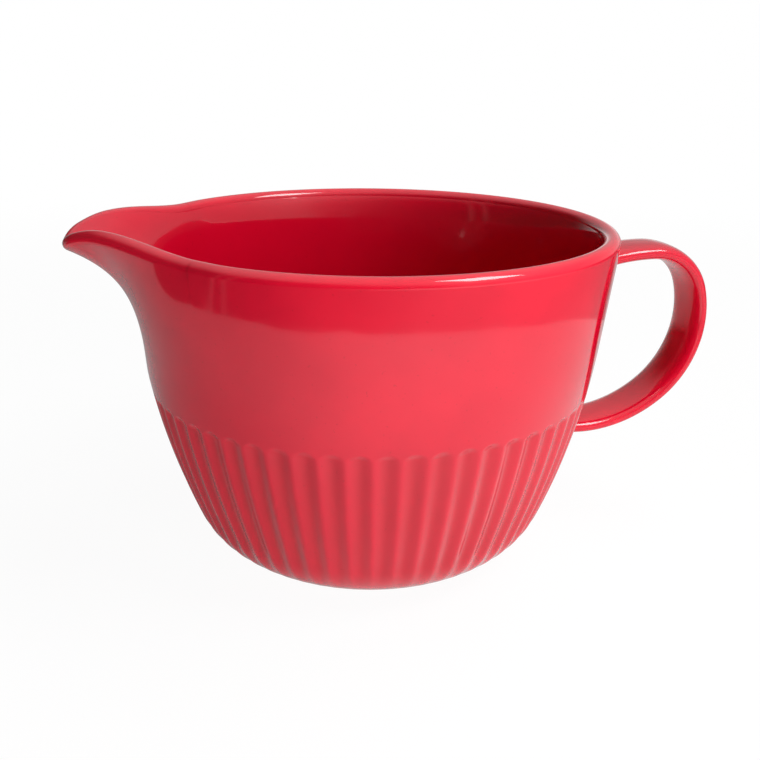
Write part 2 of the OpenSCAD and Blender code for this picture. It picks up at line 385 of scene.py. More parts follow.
class Skin:
    """Points, normals, pooled glaze and painted shade, and faces, gathered for one mesh."""

    def __init__(self):
        self.points = []
        self.normals = []
        self.pool_and_shade_values = []
        self.faces = []
        self.hidden = []
        self.count = 0

    def add(self, points, normals, pool_and_shade=0.0):
        """Adds rows of points with their normals and gives back their numbers."""
        points = np.asarray(points, float)
        shape = points.shape[:-1]
        total = int(np.prod(shape))
        self.points.append(points.reshape(-1, 3))
        self.normals.append(np.broadcast_to(normals, points.shape).reshape(-1, 3))
        self.pool_and_shade_values.append(np.broadcast_to(pool_and_shade, shape).reshape(-1).astype(float))
        numbers = np.arange(self.count, self.count + total).reshape(shape)
        self.count += total
        return numbers

    def bridge(self, low, high, closed=False, hidden=False):
        """Joins two rows of as many points by four-sided faces."""
        last = len(low) if closed else len(low) - 1
        after = np.roll(np.arange(len(low)), -1)
        low_next = np.asarray(low)[after]
        high_next = np.asarray(high)[after]
        for i in range(last):
            self.face([low[i], low_next[i], high_next[i], high[i]], hidden)

    def grid(self, numbers, closed=False):
        """Joins each row to the next one."""
        for low, high in zip(numbers[:-1], numbers[1:]):
            self.bridge(low, high, closed)

    def halve(self, dense, sparse):
        """Joins a closed ring to the next one, which has half as many steps."""
        for i in range(len(sparse)):
            a, b = dense[2 * i], dense[2 * i + 1]
            c = dense[(2 * i + 2) % len(dense)]
            p, q = sparse[i], sparse[(i + 1) % len(sparse)]
            self.face([a, b, p])
            self.face([b, q, p])
            self.face([b, c, q])

    def close_ends(self, rows):
        """Fills the first and last sections across the wall, of an odd number of rows."""
        crown = len(rows) // 2
        for section in (rows[:, 0], rows[:, -1]):
            for i in range(crown - 1):
                corners = [section[i], section[i + 1], section[-i - 2], section[-i - 1]]
                self.face(corners, hidden=True)
            self.face(section[crown - 1 : crown + 2], hidden=True)

    def face(self, corners, hidden=False):
        """Adds one face. A hidden one lies between two pieces and is shaded flat."""
        self.faces.append([int(c) for c in corners])
        self.hidden.append(hidden)

    def piece(self, name, material):
        """Makes the mesh object, with the given normals where the faces show."""
        points = np.vstack(self.points)
        normals = unit(np.vstack(self.normals))
        mesh = bpy.data.meshes.new(name)
        mesh.from_pydata(points.tolist(), [], self.faces)
        shell = bmesh.new()
        shell.from_mesh(mesh)
        bmesh.ops.recalc_face_normals(shell, faces=shell.faces)
        shell.to_mesh(mesh)
        shell.free()
        mesh.shade_smooth()
        pool_and_shade = mesh.attributes.new("pool_and_shade", "FLOAT", "POINT")
        pool_and_shade.data.foreach_set("value", np.concatenate(self.pool_and_shade_values))
        corner_vertex = np.zeros(len(mesh.loops), int)
        mesh.loops.foreach_get("vertex_index", corner_vertex)
        corner_counts = np.zeros(len(mesh.polygons), int)
        mesh.polygons.foreach_get("loop_total", corner_counts)
        flat = np.zeros(len(mesh.polygons) * 3)
        mesh.polygons.foreach_get("normal", flat)
        hidden = np.repeat(np.array(self.hidden), corner_counts)
        corner_normals = normals[corner_vertex]
        flat_normals = np.repeat(flat.reshape(-1, 3), corner_counts, axis=0)
        corner_normals[hidden] = flat_normals[hidden]
        mesh.normals_split_custom_set(corner_normals.tolist())
        mesh.materials.append(material)
        piece = bpy.data.objects.new(name, mesh)
        bpy.context.scene.collection.objects.link(piece)
        return piece


def shown(piece, node):
    """Puts a piece on the body in place of a solid, which it hides."""
    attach(piece, "root")
    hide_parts(node)


def steps_between(start, end, step, leave_last=False):
    """Even steps from a start to an end, about as long as asked for."""
    count = max(1, round(abs(end - start) / step))
    return np.linspace(start, end, count + 1)[: -1 if leave_last else None]


# Shares of the way up the wall from the spout's root to the lip, closer together near the lip
UP_SHARES = 1 - (1 - np.linspace(0, 1, UP_STEPS + 1)) ** UP_CROWDING


def close_disc(skin, ring, radii, height, normal):
    """Fills a flat round from a ring of points inwards, with fewer points in each ring."""
    for radius in radii:
        sparse = len(ring) // 2
        azimuth = np.arange(sparse) * 360 / sparse
        inner = skin.add(turned(radius, height, azimuth), normal)
        skin.halve(ring, inner)
        ring = inner
    middle = skin.add(np.array([[0, 0, height]]), normal)[0]
    for i in range(len(ring)):
        skin.face([ring[i], ring[(i + 1) % len(ring)], middle])


def build_body(material):
    """The bowl without its spout: outside, rim, inside and the hidden seam to the spout."""
    skin = Skin()
    azimuth = np.arange(COLUMNS) * 360 / COLUMNS
    gap_from = round((180 - SPOUT_HALF) * COLUMNS / 360)
    gap_to = COLUMNS - gap_from
    spout_columns = np.arange(gap_from, gap_to + 1)
    wall_columns = np.r_[gap_to:COLUMNS, 0 : gap_from + 1]

    root_length = float(length_at(np.array(SPOUT_ROOT)))
    arch_low = float(length_at(np.array(FLUTE_TOP - FLUTE_ARCH)))
    arch_high = float(length_at(np.array(FLUTE_TOP)))
    lengths = np.concatenate(
        [
            steps_between(BELLY_START, SIDE_START, BELLY_STEP, leave_last=True),
            steps_between(SIDE_START, arch_low, SIDE_STEP, leave_last=True),
            steps_between(arch_low, arch_high, ARCH_STEP, leave_last=True),
            steps_between(arch_high, root_length, PLAIN_STEP),
        ]
    )
    a, t = np.meshgrid(azimuth, lengths)
    points = outer_point(a, t)
    normals = slope_normal(outer_point, a, t, TINY_TURN, TINY_LENGTH)
    lower = skin.add(points, normals, flute_share(a, points[..., 2]))
    skin.grid(lower, closed=True)
    down = np.array([0, 0, -1.0])
    close_disc(skin, lower[0], BASE_R * np.array(BASE_RINGS), FOOT_H, down)

    up_lengths = length_at(mix(SPOUT_ROOT, WALL_TOP[1], UP_SHARES[1:]))
    a, t = np.meshgrid(azimuth[wall_columns], up_lengths)
    outside = skin.add(outer_point(a, t), slope_normal(outer_point, a, t, TINY_TURN, TINY_LENGTH))
    outside = np.vstack([lower[-1][wall_columns][None], outside])
    skin.grid(outside)

    turn = np.linspace(TOP_ANGLE, TOP_ANGLE + 180, BEAD_STEPS + 1)[1:]
    a, b = np.meshgrid(azimuth[wall_columns], turn)
    radial = side_dir(b)
    edge = RIM_LINE + WALL / 2 * radial
    bead_points = turned(edge[..., 0], edge[..., 1], a)
    bead_normals = turned(radial[..., 0], radial[..., 1], a)
    bead = skin.add(bead_points, bead_normals, -sine(b - TOP_ANGLE))
    skin.grid(np.vstack([outside[-1][None], bead]))

    def inner_rows(columns, places):
        a, t = np.meshgrid(azimuth[columns], places)
        facing = -slope_normal(inner_point, a, t, TINY_TURN, TINY_LENGTH)
        drop = WALL_TOP[1] - section_point(t)[..., 1]
        # Below the crease the inside is darkened: pooled glaze and painted shade.
        return skin.add(inner_point(a, t), facing, INNER_POOL_AND_SHADE * ease(drop / CREASE_DROP))

    inside = inner_rows(wall_columns, up_lengths[::-1][1:])
    inside = np.vstack([bead[-1][None], inside])
    inner_root = inner_rows(np.arange(COLUMNS), [root_length])[0]
    inside = np.vstack([inside, inner_root[wall_columns][None]])
    skin.grid(inside)

    even = np.arange(0, COLUMNS, 2)
    floor_lengths = np.concatenate(
        [
            steps_between(root_length, SIDE_START, INNER_SIDE_STEP, leave_last=True)[1:],
            steps_between(SIDE_START, BELLY_START, INNER_BELLY_STEP),
        ]
    )
    floor = inner_rows(even, floor_lengths)
    skin.halve(inner_root, floor[0])
    skin.grid(floor, closed=True)
    up = np.array([0, 0, 1.0])
    close_disc(skin, floor[-1], BASE_R * np.array(FLOOR_RINGS), FOOT_H + WALL, up)

    skin.bridge(lower[-1][spout_columns], inner_root[spout_columns], hidden=True)
    skin.close_ends(np.vstack([outside, bead, inside[1:]]))
    shown(skin.piece("glazed_bowl_body", material), "bowl_body")


def build_spout(material):
    """The pouring spout, which fills the gap in the body."""
    skin = Skin()
    angles = steps_between(-SPOUT_HALF, SPOUT_HALF, SPOUT_STEP)
    a, up = np.meshgrid(angles, UP_SHARES)
    outside = skin.add(spout_outside(a, up), spout_facing(a, up))
    a, s = np.meshgrid(angles, np.linspace(0, 1, BEAD_STEPS + 1)[1:])
    bead_normals = slope_normal(spout_bead, a, s, TINY_TURN, TINY_SHARE)
    bead = skin.add(spout_bead(a, s), bead_normals, -sine(180 * s))
    a, up = np.meshgrid(angles, UP_SHARES[::-1][1:])
    facing = -slope_normal(spout_inside, a, up, TINY_TURN, TINY_SHARE)
    drop = (1 - up) * (lip_edge(a)[1] - SPOUT_ROOT)
    thinned = 1 - spout_share(a) * ease(ROOT_THINNING * up)
    # Inside the spout the same pooled glaze and painted shade, thinning up from the root.
    pool_and_shade = INNER_POOL_AND_SHADE * ease(drop / CREASE_DROP) * thinned
    inside = skin.add(spout_inside(a, up), facing, pool_and_shade)
    loop = np.vstack([outside, bead, inside])
    skin.grid(loop)
    skin.bridge(outside[0], inside[-1], hidden=True)
    skin.close_ends(loop)
    shown(skin.piece("glazed_pour_spout", material), "pour_spout")


def build_foot(material):
    """The foot ring, bare clay with two rounded lower edges."""
    skin = Skin()
    outer = BASE_R - FOOT_STEP
    inner = outer - FOOT_W
    edge_turn = np.linspace(0, 90, FOOT_STEPS + 1)
    section = [([outer, FOOT_H], [1, 0])]
    edges = [(outer - FOOT_ROUND, edge_turn), (inner + FOOT_ROUND, 180 - edge_turn[::-1])]
    for middle, turns in edges:
        for turn in turns:
            facing = [cosine(turn), -sine(turn)]
            place = [middle + FOOT_ROUND * facing[0], FOOT_ROUND + FOOT_ROUND * facing[1]]
            section.append((place, facing))
    section.append(([inner, FOOT_H], [-1, 0]))
    azimuth = np.arange(COLUMNS // 2) * 720 / COLUMNS
    rows = []
    for place, facing in section:
        normals = turned(facing[0], facing[1], azimuth)
        rows.append(skin.add(turned(place[0], place[1], azimuth), normals))
    skin.grid(np.array(rows), closed=True)
    skin.bridge(rows[-1], rows[0], closed=True, hidden=True)
    shown(skin.piece("bare_foot_ring", material), "foot_ring")


# The strap's centre line is four arcs in the XZ plane, each tangent to the next. Angles are of
# each arc's outward normal, from level, and run down from the upper end.
def around(angle):
    """Direction, across and up, at an angle from level."""
    return np.stack([cosine(angle), sine(angle)], -1)


BACK_DROP = STRAP_BACK_R * sine(STRAP_BACK_TURN) + STRAP_LOW_R * (1 - sine(STRAP_BACK_TURN))
BACK_RISE = math.degrees(
    math.asin((HANDLE_TOP - HANDLE_LOW - BACK_DROP - STRAP_TURN_R) / (STRAP_BACK_R - STRAP_TURN_R))
)
BACK_CENTRE = np.array([HANDLE_REACH - STRAP_BACK_R, HANDLE_LOW + BACK_DROP])
TURN_CENTRE = BACK_CENTRE + (STRAP_BACK_R - STRAP_TURN_R) * around(BACK_RISE)
LOW_CENTRE = BACK_CENTRE + (STRAP_BACK_R - STRAP_LOW_R) * around(-STRAP_BACK_TURN)
TOP_CENTRE = TURN_CENTRE + (STRAP_TURN_R - STRAP_TOP_R) * around(90)


# Rounds of bringing a strap's end to its place, each closer than the one before
SEAT_ROUNDS = 8


def seat_angle(centre, radius, way):
    """Angle on an arc at which the strap ends, one joint's length from the side."""
    angle = 90.0 * way
    for _ in range(SEAT_ROUNDS):
        reach = float(side_radius(centre[1] + radius * sine(angle))) + JOINT_L - centre[0]
        angle = way * math.degrees(math.acos(reach / radius))
    return angle


TOP_SEAT = seat_angle(TOP_CENTRE, STRAP_TOP_R, 1)
LOW_SEAT = seat_angle(LOW_CENTRE, STRAP_LOW_R, -1)


def oval():
    """Outline of the strap's flat oval section, as width and thickness, and its normals."""
    turn = np.arange(STRAP_SIDES) * 360 / STRAP_SIDES
    half = np.array([STRAP_W / 2, STRAP_T / 2])
    round_pair = around(turn)
    unit_oval = np.sign(round_pair) * np.abs(round_pair) ** STRAP_POWER
    steep = 2 / STRAP_POWER - 1
    facing = np.sign(unit_oval) * np.abs(unit_oval) ** steep / half
    return unit_oval * half, unit(facing)


def in_strap(place, angle, pair):
    """Points in space of width and thickness pairs, at a place on the centre line."""
    out = around(angle)
    across = place[0] + pair[:, 1] * out[0]
    height = place[1] + pair[:, 1] * out[1]
    return np.stack([across, pair[:, 0], height], -1)


def strap_facing(angle, facing):
    """Directions in space of normals of the strap's section."""
    return in_strap((0, 0), angle, facing)


def build_handle(material):
    """The strap, swept along its four arcs."""
    skin = Skin()
    outline, facing = oval()
    arcs = [
        (TOP_CENTRE, STRAP_TOP_R, TOP_SEAT, 90),
        (TURN_CENTRE, STRAP_TURN_R, 90, BACK_RISE),
        (BACK_CENTRE, STRAP_BACK_R, BACK_RISE, -STRAP_BACK_TURN),
        (LOW_CENTRE, STRAP_LOW_R, -STRAP_BACK_TURN, LOW_SEAT),
    ]
    rows = []
    for centre, radius, start, end in arcs:
        last = end == LOW_SEAT
        step = math.degrees(STRAP_STEP / radius)
        for angle in steps_between(start, end, step, leave_last=not last):
            place = centre + radius * around(angle)
            rows.append(skin.add(in_strap(place, angle, outline), strap_facing(angle, facing)))
    skin.grid(np.array(rows), closed=True)
    skin.face(rows[0], hidden=True)
    skin.face(rows[-1], hidden=True)
    shown(skin.piece("glazed_handle", material), "handle")


def on_side(points, sunk=0.0):
    """The points moved level to the bowl's outer face, or a depth below it, and its normals."""
    azimuth = np.degrees(np.arctan2(points[..., 1], points[..., 0]))
    length = length_at(points[..., 2])
    facing = slope_normal(outer_point, azimuth, length, TINY_TURN, TINY_LENGTH)
    return outer_point(azimuth, length) - sunk * facing, facing


def build_joint(name, node, centre, radius, seat, way, material):
    """Clay worked from the strap's end out onto the side, as a soft hollow curve."""
    skin = Skin()
    outline, facing = oval()
    place = centre + radius * around(seat)
    inward = way * np.array([-sine(seat), 0, cosine(seat)])
    start = in_strap(place, seat, outline)
    start_facing = strap_facing(seat, facing)
    gap = JOINT_L + JOINT_EXTRA
    spread, _ = on_side(start + gap * inward + JOINT_FLARE * start_facing)
    _, side_facing = on_side(spread)
    outward = start_facing - np.sum(start_facing * side_facing, -1, keepdims=True) * side_facing
    outward = unit(outward)
    reach = np.linalg.norm(spread - start, axis=-1, keepdims=True)
    first = start + JOINT_START_SHARE * reach * inward
    second = spread - JOINT_END_SHARE * JOINT_FLARE * outward

    def curve(s):
        return (
            (1 - s) ** 3 * start
            + 3 * (1 - s) ** 2 * s * first
            + 3 * (1 - s) * s**2 * second
            + s**3 * spread
        )

    rows = []
    for s in np.linspace(0, 1, JOINT_STEPS + 1):
        ring = curve(s)
        low, high = max(s - TINY_SHARE, 0), min(s + TINY_SHARE, 1)
        down = curve(high) - curve(low)
        across = np.roll(ring, -1, axis=0) - np.roll(ring, 1, axis=0)
        normal = unit(np.cross(across, down))
        along = np.sum(normal * start_facing, -1, keepdims=True)
        normal = normal * np.sign(along + TINIEST)
        if s == 0:
            normal = start_facing
        if s == 1:
            normal = side_facing
        rows.append(skin.add(ring, normal))
    sunk, _ = on_side(spread + JOINT_LAP * outward, sunk=JOINT_LAP)
    rows.append(skin.add(sunk, side_facing))
    deep = sunk - JOINT_SINK * side_facing
    rows.append(skin.add(deep, side_facing))
    skin.grid(np.array(rows), closed=True)
    skin.face(rows[0], hidden=True)
    skin.face(rows[-1], hidden=True)
    shown(skin.piece(name, material), node)


# Colours for ramps and the stage, and the middle of a noise's range
BLACK = (0, 0, 0)
WHITE = (1, 1, 1)
NOISE_MIDDLE = 0.5


class Nodes:
    """Short calls for the nodes of a material or the world, and the links between them."""

    def __init__(self, owner, output="OutputMaterial"):
        owner.use_nodes = True
        self.owner = owner
        self.tree = owner.node_tree
        self.tree.nodes.clear()
        self.output = self.add(output)

    def add(self, kind, inputs=(), **settings):
        node = self.tree.nodes.new("ShaderNode" + kind)
        for key, value in settings.items():
            setattr(node, key, value)
        for key, value in dict(inputs).items():
            if isinstance(value, bpy.types.NodeSocket):
                self.tree.links.new(value, node.inputs[key])
            else:
                node.inputs[key].default_value = value
        return node

    def math(self, operation, *values):
        return self.add("Math", enumerate(values), operation=operation).outputs[0]

    def vector(self, operation, *values):
        return self.add("VectorMath", enumerate(values), operation=operation).outputs

    def place(self):
        return self.add("TexCoord").outputs["Object"]

    def noise(self, scale, detail=2.0):
        inputs = {"Vector": self.place(), "Scale": scale, "Detail": detail}
        return self.add("TexNoise", inputs).outputs["Fac"]

    def ramp(self, factor, stops):
        """Colour that follows a factor through some stops, each a place and a colour."""
        node = self.add("ValToRGB", {"Fac": factor})
        ramp = node.color_ramp
        while len(ramp.elements) < len(stops):
            ramp.elements.new(1.0)
        for element, (place, colour) in zip(ramp.elements, stops):
            element.position = place
            element.color = (*colour, 1)
        return node.outputs["Color"]

    def blend(self, factor, a, b):
        """Colour between two, each of them a socket or three numbers."""
        low, high = (v if isinstance(v, bpy.types.NodeSocket) else (*v, 1) for v in (a, b))
        return self.add("Mix", {0: factor, 6: low, 7: high}, data_type="RGBA").outputs[2]

    def between(self, share, a, b):
        """Number between two, each of them a socket or a number."""
        return self.add("Mix", {0: share, 2: a, 3: b}).outputs[0]

    def stretch(self, value, low, high, to_low=0.0, to_high=1.0):
        """Value brought smoothly from one range to another, and held at its ends."""
        source = {"Value": value, "From Min": low, "From Max": high}
        inputs = {**source, "To Min": to_low, "To Max": to_high}
        return self.add("MapRange", inputs, interpolation_type="SMOOTHSTEP").outputs["Result"]

    def emission(self, colour=(*WHITE, 1), strength=1.0):
        return self.add("Emission", {"Color": colour, "Strength": strength}).outputs[0]

    def finish(self, shader):
        self.tree.links.new(shader, self.output.inputs["Surface"])
        return self.owner


def new_material(name):
    return Nodes(bpy.data.materials.new(name))


# Glaze: its colours, from where it lies deep or shade is painted inside, to where it runs thin,
# and its specks
GLAZE_DEEP = (0.50, 0.0015, 0.014)
GLAZE_MID = (0.64, 0.002, 0.024)
GLAZE_THIN = (0.92, 0.010, 0.038)
GLAZE_SPECK = (0.30, 0.002, 0.008)
SPECK_SHARE = 0.25
SPECK_FROM = 0.70
SPECK_TO = 0.78

# Its depth, from 0 where it is thinnest to 1, and what pools, the painted shade inside and clouds
# add to that
DEPTH_THIN = 0.15
DEPTH_EVEN = 0.5
DEPTH_DEEP = 0.9
DEPTH_POOL_AND_SHADE = 0.22
DEPTH_CLOUD = 0.35

# Its patterns, by how many there are to a metre, and its bumps, by their heights and strengths
CLOUD_SCALE = 26
DRIFT_SCALE = 7
SPECK_SCALE = 900
GLOSS_SCALE = 60
SWELL_SCALE = 55
PEEL_SCALE = 420
SWELL_HEIGHT = 0.00012
SWELL_STRENGTH = 0.5
PEEL_HEIGHT = 0.00001
PEEL_STRENGTH = 0.35

# Its gloss
GLAZE_ROUGH = 0.045
GLAZE_ROUGH_SPREAD = 0.05
GLAZE_IOR = 1.52
COAT_WEIGHT = 0.25
COAT_ROUGH = 0.03
COAT_IOR = 1.5

# Bare clay: its dark and light patches, and its grit
CLAY_DARK = (0.58, 0.49, 0.38)
CLAY_LIGHT = (0.72, 0.65, 0.54)
CLAY_DARK_AT = 0.3
CLAY_LIGHT_AT = 0.7
CLAY_SCALE = 90
CLAY_GRIT = (0.30, 0.22, 0.15)
GRIT_SHARE = 0.35
GRIT_FROM = 0.62
GRIT_TO = 0.72
GRIT_SCALE = 1500
GRIT_HEIGHT = 0.0001
GRIT_STRENGTH = 0.6
CLAY_ROUGH = 0.75
CLAY_ROUGH_SPREAD = 0.15


def glaze_material():
    """Glossy red glaze: deeper where it pools and, as painted shade, inside the bowl, and paler
    where it runs thin on edges and ridges.
    """
    n = new_material("red_glaze")
    pool_and_shade = n.add("Attribute", attribute_name="pool_and_shade").outputs["Fac"]
    # The attribute darkens the colour: pooled glaze, and painted shade inside the bowl.
    depth = n.math("MULTIPLY_ADD", pool_and_shade, DEPTH_POOL_AND_SHADE, DEPTH_EVEN)
    for cloud in (n.noise(CLOUD_SCALE, detail=3.0), n.noise(DRIFT_SCALE)):
        change = n.math("MULTIPLY", n.math("SUBTRACT", cloud, NOISE_MIDDLE), DEPTH_CLOUD)
        depth = n.math("ADD", depth, change)
    stops = [(DEPTH_THIN, GLAZE_THIN), (DEPTH_EVEN, GLAZE_MID), (DEPTH_DEEP, GLAZE_DEEP)]
    colour = n.ramp(depth, stops)
    grain = n.noise(SPECK_SCALE, detail=1.0)
    speck = n.ramp(grain, [(SPECK_FROM, BLACK), (SPECK_TO, WHITE)])
    colour = n.blend(n.math("MULTIPLY", speck, SPECK_SHARE), colour, GLAZE_SPECK)
    gloss = n.noise(GLOSS_SCALE, detail=3.0)
    rough = n.math("MULTIPLY_ADD", gloss, GLAZE_ROUGH_SPREAD, GLAZE_ROUGH)
    swell = {"Height": n.noise(SWELL_SCALE), "Strength": SWELL_STRENGTH, "Distance": SWELL_HEIGHT}
    bump = n.add("Bump", swell)
    peel = {"Height": n.noise(PEEL_SCALE), "Strength": PEEL_STRENGTH, "Distance": PEEL_HEIGHT}
    bump = n.add("Bump", {**peel, "Normal": bump.outputs[0]})
    shader = n.add(
        "BsdfPrincipled",
        {
            "Base Color": colour,
            "Roughness": rough,
            "IOR": GLAZE_IOR,
            "Normal": bump.outputs[0],
            "Coat Weight": COAT_WEIGHT,
            "Coat Roughness": COAT_ROUGH,
            "Coat IOR": COAT_IOR,
        },
    )
    return n.finish(shader.outputs[0])


def clay_material():
    """Bare fired clay: pale, matt and gritty, a little browner in patches."""
    n = new_material("bare_clay")
    patch = n.noise(CLAY_SCALE, detail=4.0)
    grit = n.noise(GRIT_SCALE)
    colour = n.ramp(patch, [(CLAY_DARK_AT, CLAY_DARK), (CLAY_LIGHT_AT, CLAY_LIGHT)])
    dark = n.ramp(grit, [(GRIT_FROM, BLACK), (GRIT_TO, WHITE)])
    colour = n.blend(n.math("MULTIPLY", dark, GRIT_SHARE), colour, CLAY_GRIT)
    bump = n.add("Bump", {"Height": grit, "Strength": GRIT_STRENGTH, "Distance": GRIT_HEIGHT})
    rough = n.math("MULTIPLY_ADD", patch, CLAY_ROUGH_SPREAD, CLAY_ROUGH)
    inputs = {"Base Color": colour, "Roughness": rough, "Normal": bump.outputs[0]}
    return n.finish(n.add("BsdfPrincipled", inputs).outputs[0])


red_glaze = glaze_material()
bare_clay = clay_material()
build_body(red_glaze)
build_spout(red_glaze)
build_foot(bare_clay)
build_handle(red_glaze)
build_joint(
    "glazed_upper_joint", "upper_handle_joint", TOP_CENTRE, STRAP_TOP_R, TOP_SEAT, 1, red_glaze
)
build_joint(
    "glazed_lower_joint", "lower_handle_joint", LOW_CENTRE, STRAP_LOW_R, LOW_SEAT, -1, red_glaze
)

# Studio floor. To the camera it is white, with a soft part of the bowl's shadow, which fades out
# between two distances. In the glaze it is brightest at a place on the front right and dims with
# distance from there and in the bowl's shade, with a weak patch of light more on the right.
FLOOR_R = 4.0
FLOOR_COLOUR = (0.82, 0.82, 0.82)
FLOOR_GLOW = 0.25
SHADOW_SHARE = 0.06
SHADOW_NEAR = 0.35
SHADOW_FAR = 1.0
BRIGHT_PLACE = (0.09, -0.34)
BRIGHT_REACH = 0.36
BRIGHT_LEVEL = 1.36
SHADE_PLACE = (-0.10, 0.02)
SHADE_NEAR = 0.05
SHADE_FAR = 0.20
SHADE_LEVEL = 0.5
RIGHT_TURN = 15
RIGHT_LEVEL = 0.12
RIGHT_POWER = 1.5
RIGHT_NEAR = 0.06
RIGHT_FAR = 0.22

# Room that shows in the glaze only: the floor past the table's edge, with the edge's distances
# at some azimuths, and a dome over all of it
TABLE_EDGE_TURN = (147, 178, 192, 210, 232, 270, 300, 325, 350, 397)
TABLE_EDGE_R = (0.345, 0.355, 0.318, 0.300, 0.286, 0.285, 0.292, 0.303, 0.320, 0.350)
ROOM_R = 2.4
ROOM_STEPS = 72
ROOM_FLOOR_H = 0.001
DOME_RINGS = 18
DOME_TOP = 85

# Its floor is lit as the studio floor is, less on the left, and its walls are darker there too.
# Heights on the dome are shares of its radius.
ROOM_DARK_SHARE = 0.15
ROOM_LIGHT_SHARE = 0.60
ROOM_DARK_X = -0.33
ROOM_LIGHT_X = 0.36
WALLS_TURN = 20
WALLS_DARK = 0.04
WALLS_LIGHT = 0.45
WALLS_DARK_FACING = -0.2
WALLS_LIGHT_FACING = 0.3
WALLS_FOOT = 0.05

# A broad window at the front with a dim sill, two narrow upright bars of light, a white backdrop
# behind the bowl and a pale ceiling
WINDOW_TURN = -60
WINDOW_LEVEL = 0.85
WINDOW_POWER = 3.0
WINDOW_NEAR = 0.38
WINDOW_FAR = 0.52
SILL_FROM = 0.08
SILL_TO = 0.75
SILL_LEVEL = 0.08
BAR_TURNS = (-172, -163)
BAR_POWER = 1800.0
BAR_LEVEL = 0.15
BACKDROP_TURN = 75
BACKDROP_LEVEL = 0.65
BACKDROP_POWER = 10.0
BACKDROP_NEAR = 0.20
BACKDROP_FAR = 0.50
BACKDROP_FROM = 0.05
BACKDROP_TOP = 0.25
CEILING_LEVEL = 0.95
CEILING_LOW = 0.42
CEILING_HIGH = 0.97

# Lamps: name, azimuth, elevation, distance from the bowl's middle, width and height, power, and
# whether the glaze mirrors it. The world adds a little grey light.
BOWL_MIDDLE = 0.09
LAMPS = (
    ("front_softbox", -76, 7, 0.6, (0.36, 0.22), 1.8, False),
    ("high_softbox", -38, 52, 1.1, (0.45, 0.45), 7.2, True),
    ("side_softbox", -45, 20, 1.1, (0.45, 0.45), 0.9, False),
    ("top_softbox", 10, 68, 1.1, (0.45, 0.45), 3.8, False),
    ("left_softbox", 172, 4, 0.8, (0.3, 0.3), 0.45, False),
)
WORLD_FILL = (0.015, 0.015, 0.015)


def seen_directly(n):
    """1 for rays from the camera, mirrors and glass, and 0 for light on its way to a surface."""
    path = n.add("LightPath").outputs
    either = n.math("MAXIMUM", path["Is Camera Ray"], path["Is Glossy Ray"])
    return n.math("MAXIMUM", either, path["Is Transmission Ray"])


def level_place(n):
    """Place on the stage, brought down to the floor."""
    return n.vector("MULTIPLY", n.place(), (1, 1, 0))[0]


def distance_from(n, place):
    """Level distance on the stage from a place."""
    return n.vector("DISTANCE", level_place(n), (*place, 0))["Value"]


def facing_way(n, turn):
    """How closely a place on the stage lies in a level direction from the bowl, from -1 to 1."""
    way = n.vector("NORMALIZE", level_place(n))[0]
    middle = (float(cosine(turn)), float(sine(turn)), 0)
    return n.vector("DOT_PRODUCT", way, middle)["Value"]


def light_falloff(n):
    """Brightness of a white floor under the light, from its distance to the brightest place."""
    ratio = n.math("DIVIDE", distance_from(n, BRIGHT_PLACE), BRIGHT_REACH)
    return n.math("DIVIDE", BRIGHT_LEVEL, n.math("ADD", n.math("MULTIPLY", ratio, ratio), 1.0))


def lobe(n, turn, power, near, far):
    """A soft patch of brightness round a level direction from the bowl, past a distance."""
    round_it = n.math("POWER", n.math("MAXIMUM", facing_way(n, turn), 0.0), power)
    return n.math("MULTIPLY", round_it, n.stretch(distance_from(n, (0, 0)), near, far))


def backdrop_glow(n):
    """The white backdrop behind the bowl, as it shows along the glaze's far edges."""
    glow = lobe(n, BACKDROP_TURN, BACKDROP_POWER, BACKDROP_NEAR, BACKDROP_FAR)
    return n.math("MULTIPLY", glow, BACKDROP_LEVEL)


def floor_material():
    """Matt white floor: white to the camera with a soft part of the shadow near the bowl."""
    n = new_material("studio_floor")
    diffuse = n.add("BsdfDiffuse", {"Color": (*FLOOR_COLOUR, 1)})
    matt = n.add("AddShader", {0: diffuse.outputs[0], 1: n.emission(strength=FLOOR_GLOW)})
    shade = n.stretch(distance_from(n, SHADE_PLACE), SHADE_NEAR, SHADE_FAR, SHADE_LEVEL, 1.0)
    lit = n.math("ADD", n.math("MULTIPLY", shade, light_falloff(n)), backdrop_glow(n))
    right = lobe(n, RIGHT_TURN, RIGHT_POWER, RIGHT_NEAR, RIGHT_FAR)
    lit = n.math("ADD", lit, n.math("MULTIPLY", right, RIGHT_LEVEL))
    mirrored = n.add("LightPath").outputs["Is Glossy Ray"]
    glow = n.emission(n.blend(mirrored, WHITE, lit))
    shadow = n.stretch(distance_from(n, (0, 0)), SHADOW_NEAR, SHADOW_FAR, SHADOW_SHARE, 0.0)
    share = n.math("MULTIPLY", seen_directly(n), n.math("SUBTRACT", 1.0, shadow))
    return n.finish(n.add("MixShader", {0: share, 1: matt.outputs[0], 2: glow}).outputs[0])


def room_floor_level(n):
    """Brightness of the floor past the table's edge."""
    along = n.add("SeparateXYZ", {0: n.place()}).outputs["X"]
    share = n.stretch(along, ROOM_DARK_X, ROOM_LIGHT_X, ROOM_DARK_SHARE, ROOM_LIGHT_SHARE)
    return n.math("MULTIPLY", share, light_falloff(n))


def walls_level(n):
    """Brightness of the walls, darker on the left."""
    facing = facing_way(n, WALLS_TURN)
    return n.stretch(facing, WALLS_DARK_FACING, WALLS_LIGHT_FACING, WALLS_DARK, WALLS_LIGHT)


def window_level(n, rise, above):
    """Brightness that the window adds to the floor in front of it and, past its sill, above."""
    window = lobe(n, WINDOW_TURN, WINDOW_POWER, WINDOW_NEAR, WINDOW_FAR)
    window = n.math("MULTIPLY", window, WINDOW_LEVEL)
    sill = n.stretch(rise, SILL_FROM, SILL_TO, SILL_LEVEL, 1.0)
    return n.math("MULTIPLY", window, n.between(above, 1.0, sill))


